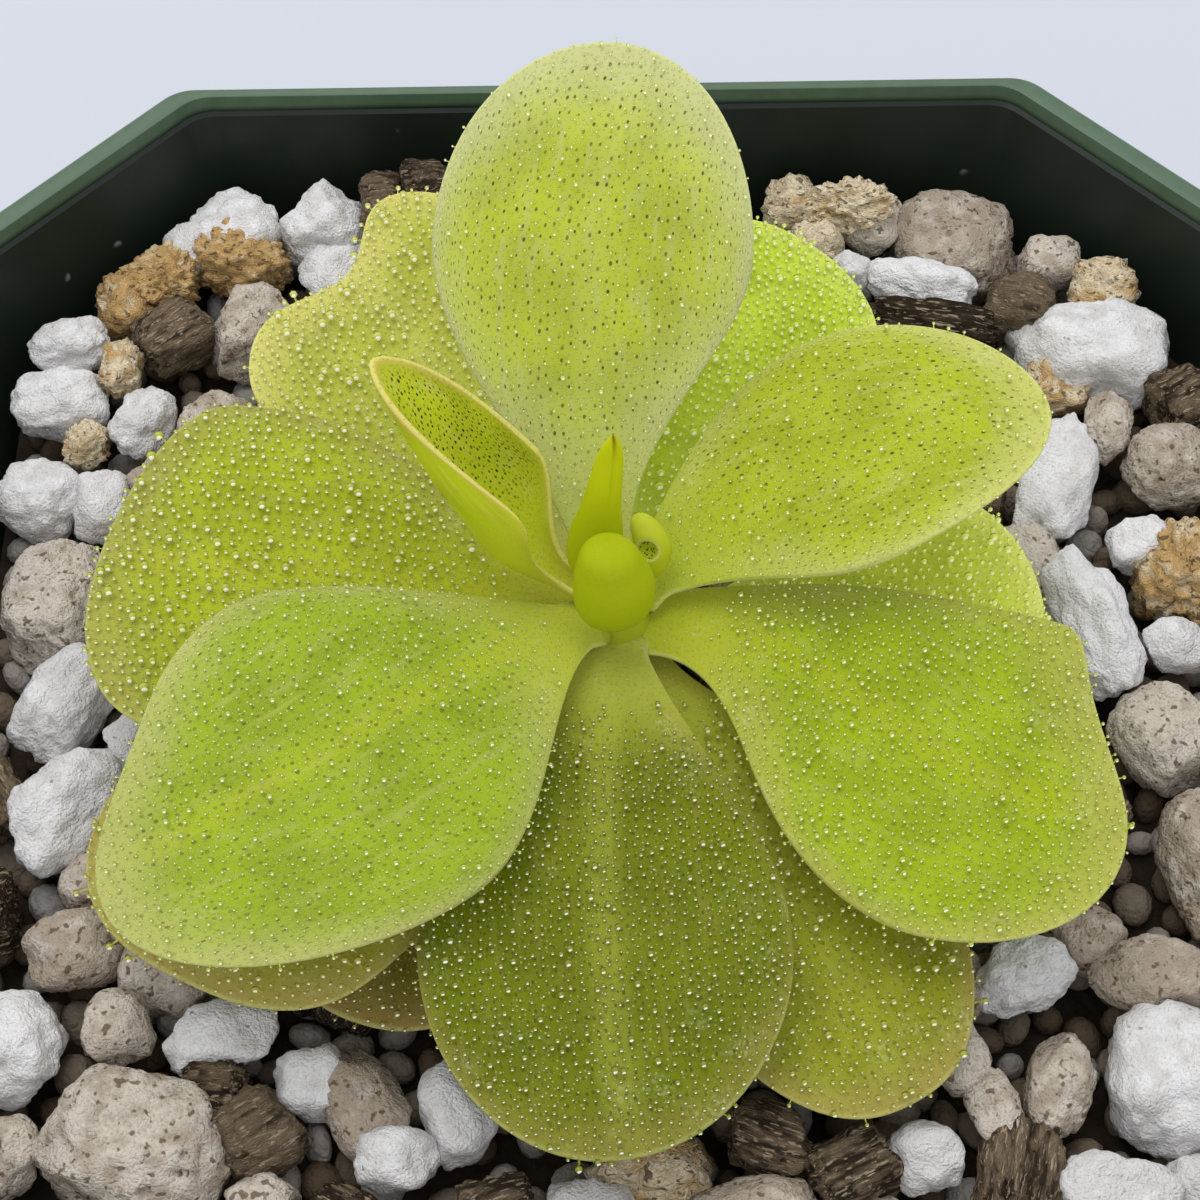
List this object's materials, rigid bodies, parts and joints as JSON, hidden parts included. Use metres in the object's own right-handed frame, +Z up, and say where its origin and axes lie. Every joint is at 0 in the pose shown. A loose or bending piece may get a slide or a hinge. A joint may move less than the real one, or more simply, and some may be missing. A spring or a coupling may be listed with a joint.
{
  "type": "potted butterwort",
  "caption": "Butterwort rosette of broad, sticky, yellow-green leaves growing in a gritty perlite and pumice mix in a square green plastic pot with cut corners.",
  "frame": {"origin": "middle of the pot's flat underside, on the surface that it stands on", "axes": "+Z up, +X to the right and -Y towards the camera of the picture"},
  "size_m": [0.089, 0.089, 0.1044],
  "materials": {
    "pot_plastic": "dark green satin plastic with a fine grain and a little dust",
    "potting_mix": "rough white perlite, pitted beige pumice, golden vermiculite and dark bark over a dark damp bed",
    "crown": "soft green stem",
    "leaf": "soft translucent yellow-green with fine brown dots and sticky drops",
    "old_leaf": "olive yellow ageing leaf with sticky drops",
    "young_leaf": "smooth bright yellow-green"
  },
  "bodies": {
    "root": {"pot": "pot_plastic", "potting_mix": "potting_mix", "crown": "crown", "old_leaf_front": "old_leaf", "lower_leaf_front_left": "old_leaf", "lower_leaf_front_right": "old_leaf", "lower_leaf_right": "leaf", "lower_leaf_back_right": "leaf", "lower_leaf_back_left": "leaf", "leaf_left": "leaf", "leaf_front": "leaf", "leaf_right_front": "leaf", "leaf_front_left": "leaf", "leaf_back": "leaf", "leaf_right_back": "leaf", "leaf_folded": "leaf", "furled_leaf": "young_leaf", "curled_leaf": "young_leaf", "small_curled_leaf": "young_leaf"}
  },
  "joints": []
}
